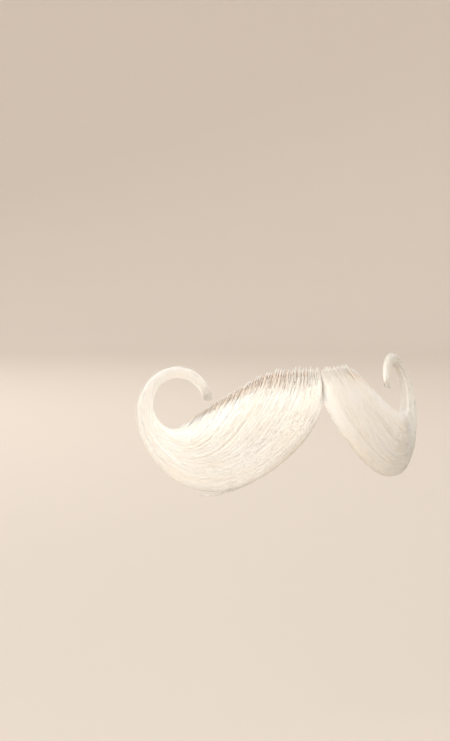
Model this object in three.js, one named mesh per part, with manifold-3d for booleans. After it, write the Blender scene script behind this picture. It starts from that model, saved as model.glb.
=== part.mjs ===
// A false handlebar moustache: white hair combed out from a middle parting on a strip of lace, in two
// halves that each run down and out along the lip and roll up into a ring-shaped curl with a cut tip.
//
// Millimetres, +Z up, the wearer's left at +X and the front at -Y. The origin is the middle of the lace's
// back, where it sticks to the upper lip.
//
// Everything lies on a sheet that wraps round the face. A place on it is given by three lengths: "out" runs
// along the sheet from the parting towards the ear, "up" is the height, and "off" is how far it stands off
// the face. A strand of hair is named by "across", from 0 at the outer end of the root line to 1 at the
// bottom of the parting, and a place on it by "along", from 0 at the root through 1 where the curl starts
// to 2 at the cut tip.

import * as THREE from "three";
import Module from "manifold-3d";

const wasm = await Module();
wasm.setup();

// Driving sizes, in millimetres and degrees

// Face sheet: how far each side sweeps back, how round it is at the lip, and how far its foot leans out.
const FACE = { sweep: 31.2, lipRound: 12, lean: 9.3 };

// Root line: up beside the parting from its notch, level to a rounded knee, then falling to its outer end.
const ROOTS = { parting: 0.35, notch: -6.5, top: 8.5, knee: 28, kneeRound: 6, fall: 0.6, end: 66 };

// Combing: the slope of the strands at their roots, in degrees, along the root line.
const COMBING = [
  { across: 0.0, slope: -38 },
  { across: 0.12, slope: -55 },
  { across: 0.4, slope: -65 },
  { across: 0.8, slope: -84 },
  { across: 1.0, slope: -63 },
];

// How stiffly the strands hold to that slope and to the curl's, as a share of their length.
const PULL = { root: 1.2, curl: 1.25 };

// Curl: a ring round its own middle, from near its lowest point to the cut tip, whose band narrows on the
// way. Above its middle it is a little taller than round.
const CURL = {
  out: 68.4,
  up: -5.5,
  bore: 11.5,
  tall: 1.07,
  start: -75,
  tip: 172,
  wide: 18.3,
  narrow: 4,
  narrowing: 46,
  tipForward: 4,
};

// Thickness of the hair along the strands, and how flat its back is: 1 lies on the face, 0 is as round as
// the front.
const SWELL = [
  { along: 0.0, thick: 1.2, flat: 1.0 },
  { along: 0.06, thick: 2.7, flat: 1.0 },
  { along: 0.2, thick: 4.8, flat: 1.0 },
  { along: 0.4, thick: 6.8, flat: 0.8 },
  { along: 0.65, thick: 7.8, flat: 0.5 },
  { along: 1.0, thick: 6.8, flat: 0.2 },
  { along: 1.35, thick: 4.2, flat: 0.0 },
  { along: 1.7, thick: 2.6, flat: 0.0 },
  { along: 2.0, thick: 1.6, flat: 0.0 },
];

// Locks: how many the hair parts into, how deep the grooves between them are as a share of the thickness,
// where along the strands the grooves have closed up, and how full the section is between its thin edges.
const LOCKS = { count: 8, pointsEach: 3, groove: 0.2, closed: 1.6, fullness: 0.75 };

// Sections along the strands: a close one by the roots, then evenly on the wing and on the curl.
const STATIONS = { root: 0.06, wing: 10, curl: 18 };

// Loose locks that leave the lower edge: where on the strand they start and end, how far the end has
// dropped, and how thick they are.
const LOOSE_LOCKS = [{ across: 0.97, from: 0.42, to: 0.78, drop: 3.2, thick: 1.8 }];
const LOOSE_LOCK_STEPS = 9;
const LOOSE_LOCK_SIDES = 6;
const LOOSE_LOCK_TAPER = 0.25;

// Lace: its thickness, its margin above the roots, and its depth below them at the parting and at its end.
const LACE = { thick: 1.0, margin: 0.4, middleDepth: 14, endDepth: 4, end: 64, columns: 22, rows: 3 };
const GAP = 0.3;

const HAIR_BACK = LACE.thick + GAP;

const { degToRad, lerp, clamp, inverseLerp } = THREE.MathUtils;

// Row of a table at a value of one of its columns, mixed from the rows on either side.
function rowAt(table, column, value) {
  const next = Math.max(1, table.findIndex((row) => row[column] >= value));
  const [low, high] = [table[next - 1], table[next]];
  const share = inverseLerp(low[column], high[column], value);
  return Object.fromEntries(Object.keys(low).map((name) => [name, lerp(low[name], high[name], share)]));
}

// The sheet and the strands on it

// Point of the sheet on the wearer's left, in the part's frame.
function sheetPoint(out, up, off) {
  const sweep = degToRad(FACE.sweep);
  const reach = Math.hypot(out, FACE.lipRound);
  const middle = new THREE.Vector2(out * Math.cos(sweep), (reach - FACE.lipRound) * Math.sin(sweep));
  const tangent = new THREE.Vector2(Math.cos(sweep), (Math.sin(sweep) * out) / reach).normalize();
  const stand = off - up * Math.tan(degToRad(FACE.lean));
  return new THREE.Vector3(middle.x + tangent.y * stand, middle.y - tangent.x * stand, up);
}

// Height of the root line.
function rootHeight(out) {
  const past = out - ROOTS.knee;
  return ROOTS.top - (ROOTS.fall * (past + Math.hypot(past, ROOTS.kneeRound))) / 2;
}

// Root of a strand, as (out, up).
function rootPoint(across) {
  const level = ROOTS.end - ROOTS.parting;
  const beside = rootHeight(ROOTS.parting) - ROOTS.notch;
  const run = across * (level + beside);
  const out = ROOTS.end - Math.min(run, level);
  return new THREE.Vector2(out, rootHeight(out) - Math.max(run - level, 0));
}

// Width of the curl's band at an angle round it, in radians.
function curlBand(angle) {
  const turned = angle - degToRad(CURL.start);
  return CURL.narrow + (CURL.wide - CURL.narrow) * Math.exp(-turned / degToRad(CURL.narrowing));
}

// Point of a strand in the curl, as (out, up).
function curlPoint(across, angle) {
  const radius = CURL.bore + across * curlBand(angle);
  const tall = angle > 0 ? CURL.tall : 1;
  return new THREE.Vector2(CURL.out + radius * Math.cos(angle), CURL.up + tall * radius * Math.sin(angle));
}

// Direction in which a strand enters the curl.
function curlEntry(across) {
  const angle = degToRad(CURL.start);
  const small = 1e-3;
  return curlPoint(across, angle + small).sub(curlPoint(across, angle)).normalize();
}

// Point of a strand between its root and the curl: a cubic that keeps the root's slope and the curl's.
function wingPoint(across, share) {
  const root = rootPoint(across);
  const entry = curlPoint(across, degToRad(CURL.start));
  const length = root.distanceTo(entry);
  const slope = degToRad(rowAt(COMBING, "across", across).slope);
  const rootPull = new THREE.Vector2(Math.cos(slope), Math.sin(slope)).multiplyScalar(PULL.root * length);
  const curlPull = curlEntry(across).multiplyScalar(PULL.curl * length);
  const rest = 1 - share;
  return new THREE.Vector2()
    .addScaledVector(root, rest * rest * (1 + 2 * share))
    .addScaledVector(rootPull, share * rest * rest)
    .addScaledVector(entry, share * share * (3 - 2 * share))
    .addScaledVector(curlPull, -share * share * rest);
}

// Point of a strand, as (out, up).
function strandPoint(across, along) {
  if (along <= 1) {
    return wingPoint(across, along);
  }
  return curlPoint(across, degToRad(lerp(CURL.start, CURL.tip, along - 1)));
}

// How far the thin edge of the hair stands off the face.
function edgeOff(along) {
  const { thick, flat } = rowAt(SWELL, "along", along);
  const turned = Math.max(0, along - 1);
  return HAIR_BACK + ((1 - flat) * thick) / 2 + CURL.tipForward * turned * turned;
}

// Fullness of the section between its two edges, from 0 to 1.
function fullness(across) {
  return (2 * Math.sqrt(across * (1 - across))) ** LOCKS.fullness;
}

// Depth of the groove beside a lock, from 0 on its crest to 1 where it meets the next one.
function groove(across, along) {
  const open = clamp(LOCKS.closed - along, 0, 1);
  return open * (1 - Math.abs(Math.sin(Math.PI * LOCKS.count * across)));
}

// Closed solids

// Solid through rings of equally many points, closed at each end by a strip between the ring's two sides.
function loftSolid(rings) {
  const count = rings[0].length;
  const half = count / 2;
  const triangles = [];
  const addQuad = (a, b, c, d) => {
    if (a !== b && b !== c && c !== a) triangles.push(a, b, c);
    if (a !== c && c !== d && d !== a) triangles.push(a, c, d);
  };
  for (let ring = 0; ring + 1 < rings.length; ring++) {
    const [here, there] = [ring * count, (ring + 1) * count];
    for (let point = 0; point < count; point++) {
      const next = (point + 1) % count;
      addQuad(here + point, here + next, there + next, there + point);
    }
  }
  const last = (rings.length - 1) * count;
  for (let point = 0; point < half; point++) {
    const [opposite, before] = [(count - point) % count, count - point - 1];
    addQuad(opposite, before, point + 1, point);
    addQuad(last + point, last + point + 1, last + before, last + opposite);
  }
  return solidFrom(rings.flat(), triangles);
}

function solidFrom(points, triangles) {
  const vertProperties = new Float32Array(points.flatMap((point) => point.toArray()));
  const triVerts = new Uint32Array(triangles);
  return new wasm.Manifold(new wasm.Mesh({ numProp: 3, vertProperties, triVerts }));
}

function geometryOf(solid) {
  const { vertProperties, triVerts } = solid.getMesh();
  const geometry = new THREE.BufferGeometry();
  geometry.setAttribute("position", new THREE.BufferAttribute(vertProperties, 3));
  geometry.setIndex(new THREE.BufferAttribute(triVerts, 1));
  geometry.computeVertexNormals();
  return geometry;
}

// Section of a half across its strands: the grooved front from the outer edge to the parting, then the
// smooth back.
function hairSection(along) {
  const { thick, flat } = rowAt(SWELL, "along", along);
  const edge = edgeOff(along);
  const count = LOCKS.count * LOCKS.pointsEach;
  const front = [];
  const back = [];
  for (let step = 0; step <= count; step++) {
    const across = step / count;
    const { x: out, y: up } = strandPoint(across, along);
    const full = thick * fullness(across);
    const crest = ((1 + flat) / 2) * (1 - LOCKS.groove * groove(across, along));
    front.push(sheetPoint(out, up, edge + full * crest));
    back.push(sheetPoint(out, up, edge - (full * (1 - flat)) / 2));
  }
  return [...front, ...back.slice(1, -1).reverse()];
}

// Loose lock: a round bundle, thin at both ends, that follows a strand and drops away from it.
function looseLockSolid({ across, from, to, drop, thick }) {
  const rings = [];
  for (let step = 0; step <= LOOSE_LOCK_STEPS; step++) {
    const share = step / LOOSE_LOCK_STEPS;
    const along = lerp(from, to, share);
    const middle = edgeOff(along) + thick / 2;
    const { x: out, y: up } = strandPoint(across, along);
    const radius = (thick / 2) * lerp(LOOSE_LOCK_TAPER, 1, Math.sin(Math.PI * share));
    const ring = [];
    for (let side = 0; side < LOOSE_LOCK_SIDES; side++) {
      const angle = (2 * Math.PI * side) / LOOSE_LOCK_SIDES;
      const height = up - drop * share * share + radius * Math.cos(angle);
      ring.push(sheetPoint(out, height, middle + radius * Math.sin(angle)));
    }
    rings.push(ring);
  }
  return loftSolid(rings);
}

// One half on the wearer's left: the combed locks with their curl, and any loose locks fused to them.
function halfGeometry(looseLocks) {
  const alongs = [0, STATIONS.root];
  for (let step = 1; step < STATIONS.wing; step++) {
    alongs.push(step / STATIONS.wing);
  }
  for (let step = 0; step <= STATIONS.curl; step++) {
    alongs.push(1 + step / STATIONS.curl);
  }
  const combed = loftSolid(alongs.map(hairSection));
  const whole = looseLocks.reduce((solid, lock) => solid.add(looseLockSolid(lock)), combed);
  return geometryOf(whole);
}

// Lace strip under the roots of both halves, from the wearer's right to the left.
function laceGeometry() {
  const rings = [];
  for (let column = -LACE.columns; column <= LACE.columns; column++) {
    const side = Math.sign(column) || 1;
    const share = Math.abs(column) / LACE.columns;
    const out = share * LACE.end;
    const top = rootHeight(out) + LACE.margin;
    const bottom = top - LACE.margin - lerp(LACE.middleDepth, LACE.endDepth, share);
    const front = [];
    const back = [];
    for (let row = 0; row <= LACE.rows; row++) {
      const up = lerp(top, bottom, row / LACE.rows);
      front.push(sheetPoint(out, up, LACE.thick));
      back.push(sheetPoint(out, up, 0));
    }
    const ring = [...front, ...back.reverse()];
    ring.forEach((point) => point.setX(side * point.x));
    rings.push(ring);
  }
  return geometryOf(loftSolid(rings));
}

// The moustache

const whiteHair = { color: 0xf5ead6, roughness: 0.55, metalness: 0 };
const fleshNet = { color: 0xd9b391, roughness: 0.9, metalness: 0 };

function namedMesh(name, geometry, finish) {
  const mesh = new THREE.Mesh(geometry, new THREE.MeshStandardMaterial(finish));
  mesh.name = name;
  return mesh;
}

const laceBacking = namedMesh("lace_backing", laceGeometry(), fleshNet);
const leftHalf = namedMesh("left_half", halfGeometry([]), whiteHair);
const rightHalf = namedMesh("right_half", halfGeometry(LOOSE_LOCKS), whiteHair);
rightHalf.scale.x = -1;

const moustache = new THREE.Group();
moustache.add(laceBacking, leftHalf, rightHalf);

export default moustache;
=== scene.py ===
"""Looks of a false handlebar moustache: white hair as single strands, and the lace it is knotted to.

Metres, +Z up, the wearer's left at +X and the front at -Y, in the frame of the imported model.

Everything lies on a sheet that wraps round the face: "out" runs along it from the parting towards
the ear, "up" is the height and "off" is how far a point stands off the face. A strand is named by
"across", from 0 at the outer end of the root line to 1 at the bottom of the parting, and a place on
it by "along", from 0 at the root through 1 where the curl starts to 2 at the cut tip. "Depth" is 0
on the back of the hair and 1 on its front, and a "run" is a length of hair.
"""

import math
from typing import NamedTuple

import bpy
import numpy as np
from mathutils import Matrix, Vector


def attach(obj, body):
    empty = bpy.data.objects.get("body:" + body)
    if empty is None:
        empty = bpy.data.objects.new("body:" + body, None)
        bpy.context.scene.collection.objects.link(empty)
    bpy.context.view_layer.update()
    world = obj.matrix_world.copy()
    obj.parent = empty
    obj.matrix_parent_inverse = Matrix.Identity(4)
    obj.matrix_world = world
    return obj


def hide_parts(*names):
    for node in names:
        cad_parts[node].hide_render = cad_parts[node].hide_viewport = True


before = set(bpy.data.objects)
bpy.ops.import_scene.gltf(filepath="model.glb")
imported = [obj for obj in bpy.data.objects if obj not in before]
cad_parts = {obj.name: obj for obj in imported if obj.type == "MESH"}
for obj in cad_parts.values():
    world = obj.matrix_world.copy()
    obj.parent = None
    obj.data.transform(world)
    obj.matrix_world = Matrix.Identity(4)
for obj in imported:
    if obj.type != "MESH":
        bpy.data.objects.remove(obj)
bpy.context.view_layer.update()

BAKE_UV = "OFBake"

# Form of the hair and the lace, with the values of the solids

FACE_SWEEP = math.radians(31.2)
FACE_LIP_ROUND = 0.012
FACE_LEAN = math.radians(9.3)

ROOT_PARTING = 0.00035
ROOT_NOTCH = -0.0065
ROOT_TOP = 0.0085
ROOT_KNEE = 0.028
ROOT_KNEE_ROUND = 0.006
ROOT_FALL = 0.6
ROOT_END = 0.066

# Slope of the strands at their roots, in degrees, along the root line
COMBING = {
    "across": (0.0, 0.12, 0.4, 0.8, 1.0),
    "slope": (-38, -55, -65, -84, -63),
}
ROOT_PULL = 1.2
CURL_PULL = 1.25

CURL_OUT = 0.0684
CURL_UP = -0.0055
CURL_BORE = 0.0115
CURL_TALL = 1.07
CURL_START = math.radians(-75)
CURL_TIP = math.radians(172)
CURL_WIDE = 0.0183
CURL_NARROW = 0.004
CURL_NARROWING = math.radians(46)
CURL_TIP_FORWARD = 0.004

# Thickness of the hair along the strands, and how flat its back is
SWELL = {
    "along": (0.0, 0.06, 0.2, 0.4, 0.65, 1.0, 1.35, 1.7, 2.0),
    "thick": (0.0012, 0.0027, 0.0048, 0.0068, 0.0078, 0.0068, 0.0042, 0.0026, 0.0016),
    "flat": (1.0, 1.0, 1.0, 0.8, 0.5, 0.2, 0.0, 0.0, 0.0),
}
FULLNESS = 0.75

# The loose lock under the wearer's right half
LOOSE_ACROSS = 0.97
LOOSE_FROM = 0.42
LOOSE_TO = 0.78
LOOSE_DROP = 0.0032
LOOSE_THICK = 0.0018

LACE_THICK = 0.001
LACE_MARGIN = 0.0004
LACE_MIDDLE_DEPTH = 0.014
LACE_END_DEPTH = 0.004
LACE_END = 0.064
GAP = 0.0003
HAIR_BACK = LACE_THICK + GAP

# Softer than in the solids: the corner of the root line at the parting, and the kinks in the combing

ROOT_CORNER = 0.0016
COMBING_EVEN = 0.05

# Places on the strands

# How far inside the rims the thickness is taken, so that it never falls to 0
RIM_INSET = 0.002
# How far a strand may go on behind its root
BEHIND_ROOT = -0.1
# Turn over which the heading of the strands into the curl is taken
SMALL_TURN = 1e-3
# Run of hair in a curl, taken as the same for all strands
CURL_RUN = 0.06
# Depth halfway between the back and the front
MIDDLE_DEPTH = 0.5

# Knots

# Rows of knots: how far down the lace a row lies, as a share of its depth, the row's share of the
# strands, and how deep those are sunk under the strands of the first row
KNOTS_IN_A_ROW = 62
KNOT_ROWS = {
    "down": (0.0, 0.18, 0.32, 0.46, 0.62, 0.8),
    "share": (0.4, 0.18, 0.14, 0.12, 0.1, 0.06),
    "sunk": (0.0, 0.004, 0.008, 0.012, 0.015, 0.018),
}

# Places along a row, counted in knots
KNOT_INSET = 0.25
KNOT_STAGGER = 0.5
KNOT_UNEVEN = 0.3
KNOT_BUNCH = 0.12

KNOT_JITTER = 0.0004
KNOT_RADIUS = 0.0002
KNOT_LENGTH = 0.0007
# A knot is a bead: places along it, in lengths of it, and how thick it is there, as a share
KNOT_BEAD = {"place": (-0.5, 0.0, 0.5), "thick": (0.4, 1.0, 0.4)}
# Place in v of all the knots
KNOT_V = 0.1

# Knots at the two ends of a row, whose strands run along the rims of the hair
RIM_KNOTS = (0, 1, 59, 60, 61)

# Hair at its knot

# Runs of hair: its free end behind the knot, and from there until it leaves the clump of its knot,
# has risen to its depth and has fanned out. Each strand has its own share of the run, from a range.
ROOT_STUB = 0.0014
ROOT_STUB_RANGE = (0.1, 1.0)
ROOT_CLUMP = 0.0008
ROOT_RISE = 0.0038
ROOT_RISE_RANGE = (0.7, 1.5)
ROOT_FAN = 0.0075
ROOT_FAN_RANGE = (0.6, 1.2)
# Runs at which the first rings of a strand lie
ROOT_RINGS = (0.0, 0.0015, 0.004, 0.008)
# How far under the back of the hair a strand lies, down on the lace, before it rises
ROOT_SINK = -0.0004

# Strands

TUBE_SIDES = 3
STRAND_RADIUS = 0.00008
STRAND_RADIUS_RANGE = (0.8, 1.25)

# Kinds of strand. They start at a knot, or inside the hair where a start is given. Crowding draws
# their depths towards the last one given, and cut is how thick the end is, as a share.
STRAND_KINDS = {
    "full": {
        "strands": 1000, "rings": 20, "end": (1.95, 2.0), "cut": 0.85,
        "depth": (0.955, 1.0), "crowding": 2,
    },
    "wing": {
        "strands": 2200, "rings": 12, "end": (0.7, 1.35), "cut": 0.3,
        "depth": (0.965, 1.0), "crowding": 2,
    },
    "curl": {
        "strands": 800, "rings": 14, "end": (1.6, 2.0), "cut": 0.5,
        "start": (0.5, 0.95),
    },
    "back": {
        "strands": 700, "rings": 14, "end": (0.9, 1.9), "cut": 0.3,
        "depth": (0.0, 0.3), "crowding": 2,
    },
    "rim": {
        "strands": 420, "rings": 20, "end": (1.5, 2.0), "cut": 0.5,
        "depth": (0.1, 0.9), "crowding": 1, "knots": RIM_KNOTS,
    },
}

# Of the strands that start inside the hair, the share that lies on the front
FRONT_SHARE = 0.6

# Places on a strand where its thickness is given, and the thickness, as shares: at the two middle
# ones, and at the first one of a strand from a knot and of one that starts inside the hair
TAPER_PLACES = (0, 0.2, 0.75, 1)
TAPER_MIDDLE = (1, 0.95)
TAPER_AT_KNOT = 0.9
TAPER_INSIDE = 0.3

# How far strands fan at the roots and stray further on, counted in knots
FAN = 0.75
STRAY = 0.12
STRAY_ALONG = (0.1, 1.0)
# How far single strands stand off the rest, and the run over which they come to it
FUZZ = 0.00008
FUZZ_RUN = 0.03

# Locks that the strands gather in. Proud and hollow are depths, sway is counted in locks.
LOCK_COUNT = 64
LOCK_MIDDLE_RANGE = (0.25, 0.75)
LOCK_PROUD = 0.004
LOCK_HOLLOW = 0.01
LOCK_HOLLOW_MOST = 0.025
LOCK_GATHER = 0.28
LOCK_GATHER_ALONG = (0.1, 0.6)
LOCK_SWAY = 0.15
LOCK_SWAY_TURN = 2.4
LOCK_SWAY_ALONG = (0, 0.3)

# Width in u of the strip that a strand of a lock takes, and a single hair, and how far strands leave
# their own place in u, so that neighbours differ in tone
LOCK_STRIP = 1 / LOCK_COUNT
HAIR_STRIP = 0.02
TONE_SPREAD = 0.02

# Core of the hair just under the strands

CORE_ACROSS = np.linspace(0.02, 0.98, 45)
CORE_ALONG = np.concatenate([np.linspace(0.02, 0.12, 10), np.linspace(0.145, 1.965, 72)])
# Runs between which it rises off the lace, and how much sooner that is beside the parting
CORE_RISE = (0.0009, 0.0082)
CORE_SOONER = {"across": (0.65, 0.82), "share": (1, 0.55)}
CORE_ROOT_DEPTH = 0.03
# How far it reaches from the middle to the front and to the back, and how it falls off at the rims
CORE_FRONT = 0.46
CORE_BACK = 0.44
CORE_RIM_FALL = 0.7
CORE_RIM_POWER = 12

# Hairs of the loose lock

# How its girth and theirs change along it, and the power by which it falls more and more
LOOSE_HAIRS = 60
LOOSE_RINGS = 12
LOOSE_GIRTH = {"share": (0, 0.35, 1), "thick": (0.9, 1, 0.12)}
LOOSE_TAPER = {"share": (0, 0.2, 0.7, 1), "thick": (0.4, 1, 0.9, 0.3)}
LOOSE_BEND = 1.6
LOOSE_DROP_RANGE = (0.8, 1.1)
LOOSE_TONE = (0.9, 0.97)

# Single hairs that leave the curl or the wing

# Drift is how far across they end from where they leave: a range on the curl, a spread on the wing.
# Bend is the power by which they leave more and more.
FLYAWAY_HAIRS = 90
FLYAWAY_RINGS = 9
FLYAWAY_ON_CURL = 0.55
FLYAWAY_RADIUS = 0.9 * STRAND_RADIUS
FLYAWAY_TAPER = {"share": (0, 0.2, 1), "thick": (0.5, 1, 0.3)}
FLYAWAY_BEND = 1.6
FLYAWAY_LIFT_RANGE = (0.3, 1.0)
CURL_FLYAWAYS = {
    "start": (1.05, 1.75), "length": (0.08, 0.2), "across": (0.9, 1.0), "depth": (0.2, 0.8),
    "lift": 0.0003, "drift": (0.06, 0.28),
}
WING_FLYAWAYS = {
    "start": (0.0, 0.9), "length": (0.08, 0.22), "across": (0.0, 1.0), "depth": 0.97,
    "lift": 0.0012, "drift": 0.015,
}

# Halves, with side -1 on the wearer's right

HALVES = {
    "right": {"side": -1, "seed": 11, "loose_lock": True},
    "left": {"side": 1, "seed": 23, "loose_lock": False},
}

# The lace as a fine film with a net of threads through it

LACE_BACK = 0.00045
LACE_FRONT = 0.00075
LACE_COLUMNS = 161
LACE_ROWS = 17
LACE_PITCH = 0.0019
LACE_THREAD = 0.00023
LACE_THREAD_RINGS = 12
# Fewest rings inside the lace's ends that make a thread
LACE_THREAD_LEAST = 3
# Width in u of the strip that a thread takes, and how far in u the net reaches
LACE_STRIP = 0.05
LACE_NET_U = 0.9

# Colours, from the darker parts to the lighter ones

HAIR_PALE = ((0.91, 0.873, 0.80), (0.966, 0.941, 0.90))
HAIR_WARM = ((0.91, 0.85, 0.74), (0.966, 0.926, 0.85))
FILM_COLOURS = ((0.78, 0.60, 0.46), (0.84, 0.67, 0.53))
THREAD_COLOURS = ((0.56, 0.39, 0.28), (0.64, 0.47, 0.35))

# Flesh colour painted on the hair near the roots: painted warm shade and light thrown back by the
# lace, with lace that shows between the sparse roots. Its colour, how far it reaches in v, where in v
# it is strongest, which streaks it takes, and between which places in u it fades out towards the
# parting
HAIR_ROOT_SHADE_AND_LACE = {"colour": (0.90, 0.74, 0.59), "reach": 0.06}
CORE_ROOT_SHADE_AND_LACE = {"colour": (0.86, 0.70, 0.56), "reach": 0.07}
ROOTS_PEAK = 0.012
ROOTS_STRANDS = (0.38, 0.55)
ROOTS_ACROSS = (0.45, 0.8)

# Noises over the UV map: how often they change in u and v, and between which levels colours change
NOISES = {
    "streaks": {"scale": (110, 3), "detail": 3, "levels": (0.3, 0.65)},
    "patches": {"scale": (7, 5), "detail": 2, "levels": (0.4, 0.62)},
    "fibres": {"scale": (420, 5), "detail": 2},
    "flesh": {"scale": (3, 30), "detail": 4, "levels": (0.3, 0.7)},
    "weave": {"scale": (40, 360), "detail": 2},
}

HAIR_ROUGHNESS = 0.5
HAIR_SPECULAR = 0.3
HAIR_SHEEN = 0.12
HAIR_SHEEN_ROUGHNESS = 0.4
LACE_ROUGHNESS = 0.85
BUMP_STRENGTH = 0.5
FIBRE_BUMP = 0.0003
WEAVE_BUMP = 0.0002

# Stage and light

FLOOR_HEIGHT = -0.2
FLOOR_RADIUS = 3.5
# Share of the radius that is flat, and how high the rest rises
FLOOR_FLAT = 0.7
FLOOR_RISE = 2.5
FLOOR_STEPS = 96
FLOOR_RINGS = 40
FLOOR_COLOUR = (0.68, 0.60, 0.52)
FLOOR_ROUGHNESS = 0.9

LIGHT_SIZE = 1.2
LIGHTS = {
    "key": {"place": (-1.7, -1.2, 0.6), "watts": 28},
    "fill": {"place": (1.7, -1.9, 0.5), "watts": 11},
    "top": {"place": (-0.5, -0.4, 1.8), "watts": 5},
    "back": {"place": (0.4, 2.2, 0.9), "watts": 14},
}
WORLD_COLOUR = (1.0, 1.0, 1.0)
WORLD_STRENGTH = 0.88

# Where the photo was taken from: its size and the model's origin in pixels, and pixels to a metre

PHOTO_WIDTH = 450
PHOTO_HEIGHT = 741
PHOTO_ORIGIN = (321, 390)
PHOTO_SCALE = 2190.0
CAMERA_AZIMUTH = math.radians(-34)
CAMERA_ELEVATION = math.radians(5.4)
CAMERA_DISTANCE = 1.6
CAMERA_CLIP = (0.01, 50)
SENSOR = 36.0


class Tubes(NamedTuple):
    """Closed tubes: paths and normals are tubes by rings by 3, radii, u and v tubes by rings."""

    paths: np.ndarray
    normals: np.ndarray
    radii: np.ndarray
    u: np.ndarray
    v: np.ndarray
    strip: float


class Starts(NamedTuple):
    """Where strands start, their depth, and how deep they are sunk under the first row."""

    across: np.ndarray
    along: np.ndarray
    depth: np.ndarray
    sunk: np.ndarray


# Form


def smooth(low, high, value):
    """0 below low, 1 above high, and an even curve between them."""
    share = np.clip((value - low) / (high - low), 0, 1)
    return share * share * (3 - 2 * share)


def unit(vectors):
    return vectors / np.linalg.norm(vectors, axis=-1, keepdims=True)


def sheet_frame(out):
    """Middle of the sheet at up 0 and its outward normal, each as x and y."""
    reach = np.hypot(out, FACE_LIP_ROUND)
    x = out * math.cos(FACE_SWEEP)
    y = (reach - FACE_LIP_ROUND) * math.sin(FACE_SWEEP)
    along_x = math.cos(FACE_SWEEP)
    along_y = math.sin(FACE_SWEEP) * out / reach
    length = np.hypot(along_x, along_y)
    return x, y, along_y / length, -along_x / length


def sheet_point(out, up, off):
    """Point of the sheet on the wearer's left."""
    x, y, normal_x, normal_y = sheet_frame(out)
    stand = off - up * math.tan(FACE_LEAN)
    return np.stack([x + normal_x * stand, y + normal_y * stand, up + 0 * out], -1)


def sheet_normal(out):
    _, _, normal_x, normal_y = sheet_frame(out)
    return np.stack([normal_x, normal_y, 0 * normal_x], -1)


def root_height(out):
    past = out - ROOT_KNEE
    return ROOT_TOP - ROOT_FALL * (past + np.hypot(past, ROOT_KNEE_ROUND)) / 2


def root_point(across):
    """(out, up) of the root line, which goes level to the parting and then down beside it."""
    level = ROOT_END - ROOT_PARTING
    beside = root_height(ROOT_PARTING) - ROOT_NOTCH
    run = across * (level + beside)
    down = (run - level + np.hypot(run - level, ROOT_CORNER)) / 2
    out = ROOT_END - (run - down)
    return np.stack([out, root_height(out) - down], -1)


def root_slope(across):
    """Slope of the strands at their roots, in radians, evened out over a few neighbours."""
    reach = np.minimum(COMBING_EVEN, np.minimum(across, 1 - across).clip(0))
    places = [across + step * reach for step in (-1, -0.5, 0, 0.5, 1)]
    slopes = [np.interp(place, COMBING["across"], COMBING["slope"]) for place in places]
    return np.radians(np.mean(slopes, axis=0))


def curl_point(across, angle):
    """(out, up) in the ring of the curl, which narrows as it turns."""
    turned = angle - CURL_START
    band = CURL_NARROW + (CURL_WIDE - CURL_NARROW) * np.exp(-turned / CURL_NARROWING)
    radius = CURL_BORE + across * band
    height = radius * np.sin(angle) * np.where(angle > 0, CURL_TALL, 1.0)
    return np.stack([CURL_OUT + radius * np.cos(angle), CURL_UP + height], -1)


def curl_entry(across):
    """(out, up) where strands enter the curl."""
    return curl_point(across, np.full_like(across, CURL_START))


def wing_point(across, share):
    """Cubic from the root to the curl that keeps the root's slope and the curl's."""
    root = root_point(across)
    entry = curl_entry(across)
    beyond = curl_point(across, np.full_like(across, CURL_START) + SMALL_TURN)
    length = np.linalg.norm(entry - root, axis=-1, keepdims=True)
    slope = root_slope(across)
    root_pull = np.stack([np.cos(slope), np.sin(slope)], -1) * length * ROOT_PULL
    curl_pull = unit(beyond - entry) * length * CURL_PULL
    share = share[..., None]
    rest = 1 - share
    return (
        root * rest * rest * (1 + 2 * share)
        + root_pull * share * rest * rest
        + entry * share * share * (3 - 2 * share)
        - curl_pull * share * share * rest
    )


def strand_point(across, along):
    """(out, up) of places on strands."""
    across, along = np.broadcast_arrays(across, along)
    wing = wing_point(across, np.clip(along, BEHIND_ROOT, 1))
    turned = (CURL_TIP - CURL_START) * np.clip(along - 1, 0, 1)
    curl = curl_point(across, CURL_START + turned)
    return np.where((along <= 1)[..., None], wing, curl)


def hair_point(across, along, depth, lift=0.0):
    """Point in the hair, lifted off the face by a length, and the sheet's normal there."""
    inside = np.clip(across, RIM_INSET, 1 - RIM_INSET)
    place = strand_point(across, along)
    out, up = place[..., 0], place[..., 1]
    thick = np.interp(along, SWELL["along"], SWELL["thick"])
    flat = np.interp(along, SWELL["along"], SWELL["flat"])
    forward = CURL_TIP_FORWARD * np.maximum(along - 1, 0) ** 2
    edge = HAIR_BACK + (1 - flat) * thick / 2 + forward
    full = thick * (2 * np.sqrt(inside * (1 - inside))) ** FULLNESS
    off = edge + full * (depth - (1 - flat) / 2) + lift
    return sheet_point(out, up, off), sheet_normal(out)


def strand_length(across):
    """Length of a strand from its root to the curl, taken straight."""
    return np.linalg.norm(curl_entry(across) - root_point(across), axis=-1)


def along_after(start, length, run):
    """Place on a strand some run of hair after its start on the wing."""
    wing = (1 - start) * length
    return np.where(run < wing, start + run / length, 1 + (run - wing) / CURL_RUN)


def run_between(start, length, along):
    """Run of hair from a start on the wing to a place on the strand."""
    return (np.minimum(along, 1) - start) * length + np.maximum(along - 1, 0) * CURL_RUN


# Meshes


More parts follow.
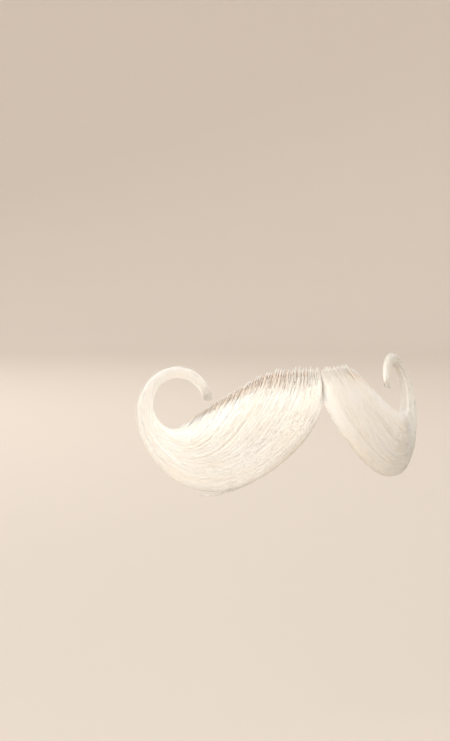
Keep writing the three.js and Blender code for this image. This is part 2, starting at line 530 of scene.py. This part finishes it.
def mesh_piece(name, points, faces, corner_uv, material, side):
    """Closed mesh on the wearer's left, or mirrored to the right where side is -1."""
    points = points.reshape(-1, 3) * np.array([side, 1, 1])
    if side < 0:
        faces = [face[::-1] for face in faces]
        corner_uv = [uv[::-1] for uv in corner_uv]
    mesh = bpy.data.meshes.new(name)
    mesh.from_pydata(points.tolist(), [], faces)
    layer = mesh.uv_layers.new(name=BAKE_UV)
    layer.data.foreach_set("uv", np.concatenate(corner_uv).ravel().astype(np.float32))
    mesh.polygons.foreach_set("use_smooth", np.ones(len(mesh.polygons), bool))
    mesh.materials.append(material)
    piece = bpy.data.objects.new(name, mesh)
    bpy.context.scene.collection.objects.link(piece)
    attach(piece, "root")
    return piece


def tube_faces(tubes, rings):
    """Quads round closed tubes, and their end caps, as corner numbers."""
    first = np.arange(tubes)[:, None] * rings * TUBE_SIDES
    ring = np.arange(rings - 1)[None, :, None] * TUBE_SIDES
    side = np.arange(TUBE_SIDES)
    here = first[:, :, None] + ring + side
    beside = first[:, :, None] + ring + (side + 1) % TUBE_SIDES
    quads = np.stack([here, beside, beside + TUBE_SIDES, here + TUBE_SIDES], -1)
    caps = np.concatenate([first + side[::-1], first + (rings - 1) * TUBE_SIDES + side])
    return quads.reshape(-1, 4), caps


def tube_piece(name, tubes, material, side):
    """One piece of many closed tubes."""
    count, rings = tubes.radii.shape
    heading = unit(np.gradient(tubes.paths, axis=1))
    sideways = unit(np.cross(heading, tubes.normals))
    outward = np.cross(sideways, heading)
    angles = 2 * math.pi * np.arange(TUBE_SIDES) / TUBE_SIDES
    across = np.cos(angles)[:, None] * sideways[:, :, None]
    around = across + np.sin(angles)[:, None] * outward[:, :, None]
    points = tubes.paths[:, :, None] + tubes.radii[:, :, None, None] * around

    corner_u = tubes.u[:, :, None] + tubes.strip * np.arange(TUBE_SIDES + 1) / TUBE_SIDES
    uv = np.stack([corner_u, np.broadcast_to(tubes.v[:, :, None], corner_u.shape)], -1)
    quad_uv = np.stack([uv[:, :-1, :-1], uv[:, :-1, 1:], uv[:, 1:, 1:], uv[:, 1:, :-1]], 3)
    cap_uv = np.concatenate([uv[:, 0, :TUBE_SIDES][:, ::-1], uv[:, -1, :TUBE_SIDES]])

    quads, caps = tube_faces(count, rings)
    faces = quads.tolist() + caps.tolist()
    corner_uv = list(quad_uv.reshape(-1, 4, 2)) + list(cap_uv)
    return mesh_piece(name, points, faces, corner_uv, material, side)


def lofted_piece(name, front, back, u, v, material, side):
    """Closed body between two grids of points, rows by columns, with u for columns and v for rows."""
    rows, columns = front.shape[:2]
    rings = np.concatenate([front, back[:, ::-1]], 1)
    ring_u = np.concatenate([u, u[::-1]])
    count = 2 * columns
    faces = []
    for row in range(rows - 1):
        low, high = row * count, (row + 1) * count
        for step in range(count):
            after = (step + 1) % count
            faces.append([low + step, low + after, high + after, high + step])
    last = (rows - 1) * count
    for step in range(columns - 1):
        opposite = count - 1 - step
        faces.append([opposite, opposite - 1, step + 1, step])
        faces.append([last + step, last + step + 1, last + opposite - 1, last + opposite])
    corners = np.array(faces)
    corner_uv = np.stack([ring_u[corners % count], v[corners // count]], -1)
    return mesh_piece(name, rings, faces, list(corner_uv), material, side)


# Hair


def lock_values(rng):
    """What the strands of a lock share: its middle, how it sways, and how proud it stands."""
    middle = np.arange(LOCK_COUNT) + rng.uniform(*LOCK_MIDDLE_RANGE, LOCK_COUNT)
    return {
        "middle": middle / LOCK_COUNT,
        "sway": rng.uniform(-LOCK_SWAY, LOCK_SWAY, LOCK_COUNT) / LOCK_COUNT,
        "phase": rng.uniform(0, 2 * math.pi, LOCK_COUNT),
        "proud": rng.normal(0, LOCK_PROUD, LOCK_COUNT),
    }


def own_lock(locks, across):
    """Values of the lock that each strand is in, as columns."""
    number = np.clip((across * LOCK_COUNT).astype(int), 0, LOCK_COUNT - 1)
    return {name: values[number][:, None] for name, values in locks.items()}


def knot_values(rng):
    """Place of each knot, rows by knots, with the rows staggered and none of it quite even."""
    down = np.array(KNOT_ROWS["down"])[:, None]
    stagger = KNOT_STAGGER * (np.arange(len(down))[:, None] % 2)
    uneven = rng.uniform(-KNOT_UNEVEN, KNOT_UNEVEN, (len(down), KNOTS_IN_A_ROW))
    across = (np.arange(KNOTS_IN_A_ROW) + KNOT_INSET + stagger + uneven) / KNOTS_IN_A_ROW
    below = down * lace_depth(root_point(across)[..., 0]) - LACE_MARGIN * (down == 0)
    below = below + rng.normal(0, KNOT_JITTER, across.shape)
    return {"across": across, "along": below / strand_length(across)}


def knotted_starts(rng, knots, kind):
    """Starts at knots, each with a short free end behind it."""
    count = kind["strands"]
    columns = kind.get("knots", range(KNOTS_IN_A_ROW))
    row = rng.choice(len(KNOT_ROWS["share"]), count, p=KNOT_ROWS["share"])
    knot = rng.choice(columns, count)
    across = knots["across"][row, knot] + rng.normal(0, KNOT_BUNCH / KNOTS_IN_A_ROW, count)
    stub = ROOT_STUB * rng.uniform(*ROOT_STUB_RANGE, count) / strand_length(across)
    low, high = kind["depth"]
    depth = high - (high - low) * rng.random(count) ** kind["crowding"]
    return Starts(across, knots["along"][row, knot] - stub, depth, np.array(KNOT_ROWS["sunk"])[row])


def inside_starts(rng, kind):
    """Starts inside the hair, just on its front or on its back."""
    count = kind["strands"]
    across = rng.random(count)
    along = rng.uniform(*kind["start"], count)
    depth = np.where(rng.random(count) < FRONT_SHARE, 1.0, 0.0)
    return Starts(across, along, depth, np.zeros(count))


def strand_rings(start, length, end, rings, from_knot):
    """Places of the rings, closer together at a knot, where the hair turns off the lace."""
    start, length, end = start[:, None], length[:, None], end[:, None]
    if not from_knot:
        return start + (end - start) * np.linspace(0, 1, rings)
    near = along_after(start, length, np.array(ROOT_RINGS))
    share = np.linspace(0, 1, rings - len(ROOT_RINGS) + 1)[1:]
    return np.concatenate([near, near[:, -1:] + (end - near[:, -1:]) * share], 1)


def combed_across(rng, lock, root, along, run):
    """Across of each ring: strands fan out from their knots, stray, gather in locks and sway."""
    count = len(root)
    spread = ROOT_FAN * rng.uniform(*ROOT_FAN_RANGE, count)[:, None]
    fan = rng.uniform(-FAN, FAN, count)[:, None] * smooth(ROOT_CLUMP, spread, run)
    stray = rng.normal(0, STRAY, count)[:, None] * smooth(*STRAY_ALONG, along)
    across = root[:, None] + (fan + stray) / KNOTS_IN_A_ROW
    gather = LOCK_GATHER * smooth(*LOCK_GATHER_ALONG, along)
    across = across + (lock["middle"] - across) * gather
    sway = lock["sway"] * np.sin(LOCK_SWAY_TURN * along + lock["phase"])
    return across + sway * smooth(*LOCK_SWAY_ALONG, along)


def combed_depth(rng, lock, starts, across, run, from_knot):
    """Depth of each ring and its lift off the face: strands rise from the lace and round each lock."""
    count = len(run)
    outward = np.clip(2 * starts.depth - 1, -1, 1)[:, None]
    aside = 2 * LOCK_COUNT * (across - lock["middle"])
    hollow = np.minimum(LOCK_HOLLOW * aside ** 2, LOCK_HOLLOW_MOST)
    depth = starts.depth[:, None] - outward * (hollow + starts.sunk[:, None]) + lock["proud"]
    risen = ROOT_RISE * rng.uniform(*ROOT_RISE_RANGE, count)[:, None]
    rise = smooth(0, risen, run) if from_knot else np.ones_like(run)
    fuzz = rng.exponential(FUZZ, count)[:, None] * outward * smooth(0, FUZZ_RUN, run)
    return depth * rise, ROOT_SINK * (1 - rise) + fuzz


def combed_strands(rng, locks, knots, kind):
    """Tubes of one kind of strand, combed from their knots into the locks and on into the curl."""
    count = kind["strands"]
    from_knot = "start" not in kind
    end = rng.uniform(*kind["end"], count)
    starts = knotted_starts(rng, knots, kind) if from_knot else inside_starts(rng, kind)
    lock = own_lock(locks, starts.across)
    length = strand_length(starts.across)
    along = strand_rings(starts.along, length, end, kind["rings"], from_knot)
    run = run_between(starts.along[:, None], length[:, None], along)
    across = combed_across(rng, lock, starts.across, along, run)
    depth, lift = combed_depth(rng, lock, starts, across, run, from_knot)
    paths, normals = hair_point(across, along, depth, lift)

    first = TAPER_AT_KNOT if from_knot else TAPER_INSIDE
    share = np.linspace(0, 1, kind["rings"])
    taper = np.interp(share, TAPER_PLACES, (first, *TAPER_MIDDLE, kind["cut"]))
    radii = STRAND_RADIUS * rng.uniform(*STRAND_RADIUS_RANGE, count)[:, None] * taper
    tone = np.clip(starts.across + rng.normal(0, TONE_SPREAD, count), 0, 1)[:, None]
    u = np.broadcast_to(tone * (1 - LOCK_STRIP), along.shape)
    return Tubes(paths, normals, radii, u, along.clip(0, 2) / 2, LOCK_STRIP)


def core_piece(name, side, material):
    """Body a little inside the strands, thin at the roots, so that no light shows through the hair."""
    across = CORE_ACROSS[None, :]
    along = CORE_ALONG[:, None]
    run = run_between(0, strand_length(CORE_ACROSS)[None, :], along)
    sooner = np.interp(across, CORE_SOONER["across"], CORE_SOONER["share"])
    rise = smooth(CORE_RISE[0] * sooner, CORE_RISE[1] * sooner, run)
    full = 1 - CORE_RIM_FALL * np.abs(2 * across - 1) ** CORE_RIM_POWER
    lifted = MIDDLE_DEPTH - CORE_ROOT_DEPTH + CORE_FRONT * full
    front, _ = hair_point(across, along, CORE_ROOT_DEPTH + lifted * rise)
    back, _ = hair_point(across, along, (MIDDLE_DEPTH - CORE_BACK * full) * rise)
    return lofted_piece(name, front, back, CORE_ACROSS, CORE_ALONG / 2, material, side)


def knot_tubes(knots):
    """The knots as small beads of hair on the back of the lace."""
    across = knots["across"].reshape(-1, 1)
    along = knots["along"].reshape(-1, 1)
    steps = KNOT_LENGTH / strand_length(across) * np.array(KNOT_BEAD["place"])
    place = strand_point(across, along + steps)
    out, up = place[..., 0], place[..., 1]
    paths = sheet_point(out, up, LACE_BACK)
    radii = np.broadcast_to(KNOT_RADIUS * np.array(KNOT_BEAD["thick"]), out.shape)
    u = np.broadcast_to(across * (1 - HAIR_STRIP), out.shape)
    return Tubes(paths, sheet_normal(out), radii, u, np.full(out.shape, KNOT_V), HAIR_STRIP)


def flyaway_tubes(rng):
    """Single hairs that leave the outer edge of the curl and the front of the wing."""
    count = FLYAWAY_HAIRS
    curl, wing = CURL_FLYAWAYS, WING_FLYAWAYS
    on_curl = rng.random(count) < FLYAWAY_ON_CURL

    def drawn(value):
        return np.where(on_curl, rng.uniform(*curl[value], count), rng.uniform(*wing[value], count))

    start, length, across = drawn("start"), drawn("length"), drawn("across")
    depth = np.where(on_curl, rng.uniform(*curl["depth"], count), wing["depth"])
    lift = np.where(on_curl, curl["lift"], wing["lift"]) * rng.uniform(*FLYAWAY_LIFT_RANGE, count)
    outward = rng.uniform(*curl["drift"], count)
    drift = np.where(on_curl, outward, rng.normal(0, wing["drift"], count))

    share = np.linspace(0, 1, FLYAWAY_RINGS)
    bend = share ** FLYAWAY_BEND
    along = (start[:, None] + length[:, None] * share).clip(0, 2)
    drifted = across[:, None] + drift[:, None] * bend
    paths, normals = hair_point(drifted, along, depth[:, None], lift[:, None] * bend)
    taper = np.interp(share, FLYAWAY_TAPER["share"], FLYAWAY_TAPER["thick"])
    radii = FLYAWAY_RADIUS * taper * np.ones((count, 1))
    u = np.broadcast_to(across[:, None] * (1 - HAIR_STRIP), along.shape)
    return Tubes(paths, normals, radii, u, along / 2, HAIR_STRIP)


def loose_lock_tubes(rng):
    """A bundle that leaves the lower edge of the hair and ends in a point."""
    count = LOOSE_HAIRS
    share = np.linspace(0, 1, LOOSE_RINGS)
    along = LOOSE_FROM + (LOOSE_TO - LOOSE_FROM) * share
    edge = np.full_like(along, LOOSE_ACROSS)
    middle, normal = hair_point(edge, along, np.full_like(along, MIDDLE_DEPTH))
    girth = LOOSE_THICK / 2 * np.interp(share, LOOSE_GIRTH["share"], LOOSE_GIRTH["thick"])
    turn = rng.uniform(0, 2 * math.pi, count)[:, None]
    spread = np.sqrt(rng.random(count))[:, None] * girth
    fall = LOOSE_DROP * share ** LOOSE_BEND * rng.uniform(*LOOSE_DROP_RANGE, count)[:, None]
    upward = (spread * np.sin(turn) - fall)[:, :, None] * np.array([0, 0, 1.0])
    forward = (spread * np.cos(turn))[:, :, None] * normal
    paths = middle + upward + forward
    normals = np.broadcast_to(normal, paths.shape)
    taper = np.interp(share, LOOSE_TAPER["share"], LOOSE_TAPER["thick"])
    radii = STRAND_RADIUS * taper * np.ones((count, 1))
    u = np.broadcast_to(rng.uniform(*LOOSE_TONE, count)[:, None], radii.shape)
    return Tubes(paths, normals, radii, u, np.broadcast_to(along / 2, radii.shape), HAIR_STRIP)


def hair_half(word, half, hair, core):
    """All pieces of one half of the moustache."""
    rng = np.random.default_rng(half["seed"])
    side = half["side"]
    locks = lock_values(rng)
    knots = knot_values(rng)
    tubes = {"knots": knot_tubes(knots)}
    for kind, values in STRAND_KINDS.items():
        tubes[f"{kind}_strands"] = combed_strands(rng, locks, knots, values)
    tubes["flyaways"] = flyaway_tubes(rng)
    if half["loose_lock"]:
        tubes["loose_lock"] = loose_lock_tubes(rng)
    pieces = [core_piece(f"{word}_core", side, core)]
    for name, values in tubes.items():
        pieces.append(tube_piece(f"{word}_{name}", values, hair, side))
    for piece in pieces:
        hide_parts(f"{word}_half")


# Lace


def lace_depth(out):
    return LACE_MIDDLE_DEPTH + (LACE_END_DEPTH - LACE_MIDDLE_DEPTH) * np.abs(out) / LACE_END


def lace_point(out, share, off):
    """Point and normal of the lace on either side, with share 0 at its lower edge and 1 at its upper."""
    aside = np.abs(out)
    top = root_height(aside) + LACE_MARGIN
    bottom = root_height(aside) - lace_depth(out)
    up = bottom + (top - bottom) * share
    mirror = np.stack([np.where(out < 0, -1.0, 1.0)] + 2 * [np.ones_like(aside)], -1)
    return sheet_point(aside, up, off) * mirror, sheet_normal(aside) * mirror


def lace_film(material):
    out = np.linspace(-LACE_END, LACE_END, LACE_COLUMNS)
    share = np.linspace(0, 1, LACE_ROWS)
    outs, shares = np.meshgrid(out, share, indexing="ij")
    front, _ = lace_point(outs, shares, LACE_FRONT)
    back, _ = lace_point(outs, shares, LACE_BACK)
    return lofted_piece("lace_film", front, back, share, out / (2 * LACE_END) + 0.5, material, 1)


def lace_net(material):
    """Threads that cross the lace both ways."""
    lean = LACE_MIDDLE_DEPTH
    share = np.linspace(0, 1, LACE_THREAD_RINGS)
    starts = np.arange(-LACE_END - lean, LACE_END + lean, LACE_PITCH)
    runs = []
    for way, shift in ((-1, LACE_PITCH / 2), (1, 0.0)):
        out = (starts + shift)[:, None] + way * lean * share
        kept = (np.abs(out) <= LACE_END).sum(1) >= LACE_THREAD_LEAST
        runs.append(np.clip(out[kept], -LACE_END, LACE_END))
    out = np.concatenate(runs)
    height = np.broadcast_to(share, out.shape)
    paths, normals = lace_point(out, height, (LACE_FRONT + LACE_BACK) / 2)
    radii = np.full(out.shape, LACE_THREAD)
    v = out / (2 * LACE_END) + 0.5
    threads = Tubes(paths, normals, radii, height * LACE_NET_U, v, LACE_STRIP)
    return tube_piece("lace_net", threads, material, 1)


def lace(film_material, thread_material):
    film = lace_film(film_material)
    net = lace_net(thread_material)
    for piece in (film, net):
        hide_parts("lace_backing")


# Materials


def new_material(name):
    """Material with its node tree and its shader."""
    material = bpy.data.materials.new(name)
    material.use_nodes = True
    tree = material.node_tree
    return material, tree, tree.nodes["Principled BSDF"]


def uv_socket(tree):
    uv = tree.nodes.new("ShaderNodeUVMap")
    uv.uv_map = BAKE_UV
    return uv.outputs["UV"]


def uv_noise(tree, name):
    """Noise over the UV map, drawn out along the strands where its scales differ."""
    mapping = tree.nodes.new("ShaderNodeMapping")
    mapping.inputs["Scale"].default_value = (*NOISES[name]["scale"], 1)
    noise = tree.nodes.new("ShaderNodeTexNoise")
    noise.inputs["Scale"].default_value = 1.0
    noise.inputs["Detail"].default_value = NOISES[name]["detail"]
    tree.links.new(uv_socket(tree), mapping.inputs["Vector"])
    tree.links.new(mapping.outputs["Vector"], noise.inputs["Vector"])
    return noise.outputs["Fac"]


def colour_ramp(tree, factor, positions, colours):
    """Ramp through colours at positions."""
    ramp = tree.nodes.new("ShaderNodeValToRGB")
    stops = ramp.color_ramp.elements
    while len(stops) < len(positions):
        stops.new(1.0)
    for stop, position, colour in zip(stops, positions, colours):
        stop.position = position
        stop.color = (*colour, 1)
    tree.links.new(factor, ramp.inputs["Fac"])
    return ramp.outputs["Color"]


def level_ramp(tree, factor, positions, levels):
    """Ramp through plain levels from 0 to 1."""
    return colour_ramp(tree, factor, positions, [3 * (level,) for level in levels])


def multiplied(tree, first, second):
    product = tree.nodes.new("ShaderNodeMath")
    product.operation = "MULTIPLY"
    tree.links.new(first, product.inputs[0])
    tree.links.new(second, product.inputs[1])
    return product.outputs["Value"]


def mixed(tree, factor, first, second):
    """First colour where the factor is 0 and second where it is 1, which may be a plain colour."""
    mix = tree.nodes.new("ShaderNodeMix")
    mix.data_type = "RGBA"
    tree.links.new(factor, mix.inputs["Factor"])
    tree.links.new(first, mix.inputs["A"])
    if isinstance(second, tuple):
        mix.inputs["B"].default_value = (*second, 1)
    else:
        tree.links.new(second, mix.inputs["B"])
    return mix.outputs["Result"]


def add_bump(tree, shader, height, distance):
    bump = tree.nodes.new("ShaderNodeBump")
    bump.inputs["Strength"].default_value = BUMP_STRENGTH
    bump.inputs["Distance"].default_value = distance
    tree.links.new(height, bump.inputs["Height"])
    tree.links.new(bump.outputs["Normal"], shader.inputs["Normal"])


def root_shade_and_lace_share(tree, streaks, reach):
    """How much flesh colour the hair takes: painted warm shade and light thrown back by the lace, with
    lace seen between the roots. It is close to the roots, on some strands, and least beside the parting.
    """
    parts = tree.nodes.new("ShaderNodeSeparateXYZ")
    tree.links.new(uv_socket(tree), parts.inputs["Vector"])
    near = level_ramp(tree, parts.outputs["Y"], (0, ROOTS_PEAK, reach), (0, 1, 0))
    chosen = level_ramp(tree, streaks, ROOTS_STRANDS, (0, 1))
    outer = level_ramp(tree, parts.outputs["X"], ROOTS_ACROSS, (1, 0))
    return multiplied(tree, multiplied(tree, near, chosen), outer)


def hair_material(name, roots, fibre_bump):
    """Cream-white hair with tones by lock and strand, warmer patches, and a flesh colour at the roots:
    painted warm shade and light thrown back by the lace, with lace seen between the roots.
    """
    material, tree, shader = new_material(name)
    streaks = uv_noise(tree, "streaks")
    patches = uv_noise(tree, "patches")
    pale = colour_ramp(tree, streaks, NOISES["streaks"]["levels"], HAIR_PALE)
    warm = colour_ramp(tree, streaks, NOISES["streaks"]["levels"], HAIR_WARM)
    warmth = level_ramp(tree, patches, NOISES["patches"]["levels"], (0, 1))
    hair = mixed(tree, warmth, pale, warm)
    # Flesh colour near the roots: painted warm shade and light thrown back by the lace, with lace seen
    # between the roots
    flesh = root_shade_and_lace_share(tree, streaks, roots["reach"])
    tree.links.new(mixed(tree, flesh, hair, roots["colour"]), shader.inputs["Base Color"])
    shader.inputs["Roughness"].default_value = HAIR_ROUGHNESS
    shader.inputs["Specular IOR Level"].default_value = HAIR_SPECULAR
    shader.inputs["Sheen Weight"].default_value = HAIR_SHEEN
    shader.inputs["Sheen Roughness"].default_value = HAIR_SHEEN_ROUGHNESS
    if fibre_bump:
        add_bump(tree, shader, uv_noise(tree, "fibres"), fibre_bump)
    return material


def lace_material(name, colours):
    """Flesh-coloured net, uneven and finely ribbed."""
    material, tree, shader = new_material(name)
    flesh = colour_ramp(tree, uv_noise(tree, "flesh"), NOISES["flesh"]["levels"], colours)
    tree.links.new(flesh, shader.inputs["Base Color"])
    shader.inputs["Roughness"].default_value = LACE_ROUGHNESS
    add_bump(tree, shader, uv_noise(tree, "weave"), WEAVE_BUMP)
    return material


# Stage, light and camera


def stage():
    """Round pale floor that curves up into a backdrop all round."""
    material, _, shader = new_material("pale_floor")
    shader.inputs["Base Color"].default_value = (*FLOOR_COLOUR, 1)
    shader.inputs["Roughness"].default_value = FLOOR_ROUGHNESS
    turn = 2 * math.pi * np.arange(FLOOR_STEPS) / FLOOR_STEPS
    share = np.linspace(0, 1, FLOOR_RINGS + 1)[1:, None]
    climb = (np.maximum(0, share - FLOOR_FLAT) / (1 - FLOOR_FLAT)) ** 2
    radius = FLOOR_RADIUS * share
    height = FLOOR_HEIGHT + FLOOR_RISE * climb + 0 * turn
    rings = np.stack([radius * np.cos(turn), radius * np.sin(turn), height], -1).reshape(-1, 3)
    points = rings.tolist() + [[0, 0, FLOOR_HEIGHT]]
    middle = len(rings)
    faces = []
    for step in range(FLOOR_STEPS):
        after = (step + 1) % FLOOR_STEPS
        faces.append([step, after, middle])
        for low in range(0, middle - FLOOR_STEPS, FLOOR_STEPS):
            high = low + FLOOR_STEPS
            faces.append([low + step, high + step, high + after, low + after])
    mesh = bpy.data.meshes.new("floor")
    mesh.from_pydata(points, [], faces)
    mesh.materials.append(material)
    mesh.polygons.foreach_set("use_smooth", np.ones(len(mesh.polygons), bool))
    floor = bpy.data.objects.new("floor", mesh)
    bpy.context.scene.collection.objects.link(floor)


def area_light(name, place, watts):
    """Round lamp that faces the object."""
    lamp = bpy.data.lights.new(name, "AREA")
    lamp.shape = "DISK"
    lamp.size = LIGHT_SIZE
    lamp.energy = watts
    light = bpy.data.objects.new(name, lamp)
    light.location = place
    light.rotation_mode = "QUATERNION"
    light.rotation_quaternion = (-Vector(place)).to_track_quat("-Z", "Y")
    bpy.context.scene.collection.objects.link(light)


def studio_world():
    world = bpy.data.worlds.new("studio")
    world.use_nodes = True
    background = world.node_tree.nodes["Background"]
    background.inputs["Color"].default_value = (*WORLD_COLOUR, 1)
    background.inputs["Strength"].default_value = WORLD_STRENGTH
    bpy.context.scene.world = world


def photo_camera():
    """Camera at the photo's angle, moved aside so that the origin falls on its pixel."""
    forward = Vector((
        -math.sin(CAMERA_AZIMUTH) * math.cos(CAMERA_ELEVATION),
        math.cos(CAMERA_AZIMUTH) * math.cos(CAMERA_ELEVATION),
        -math.sin(CAMERA_ELEVATION),
    ))
    right = forward.cross(Vector((0, 0, 1))).normalized()
    above = right.cross(forward)
    aside = (PHOTO_ORIGIN[0] - PHOTO_WIDTH / 2) / PHOTO_SCALE
    below = (PHOTO_ORIGIN[1] - PHOTO_HEIGHT / 2) / PHOTO_SCALE
    data = bpy.data.cameras.new("photo_camera")
    data.sensor_width = SENSOR
    data.lens = SENSOR * PHOTO_SCALE * CAMERA_DISTANCE / PHOTO_HEIGHT
    data.clip_start, data.clip_end = CAMERA_CLIP
    camera = bpy.data.objects.new("photo_camera", data)
    camera.matrix_world = Matrix((right, above, -forward)).transposed().to_4x4()
    camera.location = -forward * CAMERA_DISTANCE - right * aside + above * below
    bpy.context.scene.collection.objects.link(camera)
    bpy.context.scene.camera = camera


def main():
    photo_camera()
    hair = hair_material("white_hair", HAIR_ROOT_SHADE_AND_LACE, None)
    core = hair_material("white_hair_core", CORE_ROOT_SHADE_AND_LACE, FIBRE_BUMP)
    for word, half in HALVES.items():
        hair_half(word, half, hair, core)
    film = lace_material("flesh_film", FILM_COLOURS)
    thread = lace_material("flesh_thread", THREAD_COLOURS)
    lace(film, thread)
    stage()
    for name, light in LIGHTS.items():
        area_light(name, light["place"], light["watts"])
    studio_world()
    bpy.context.scene.view_settings.view_transform = "Standard"


main()
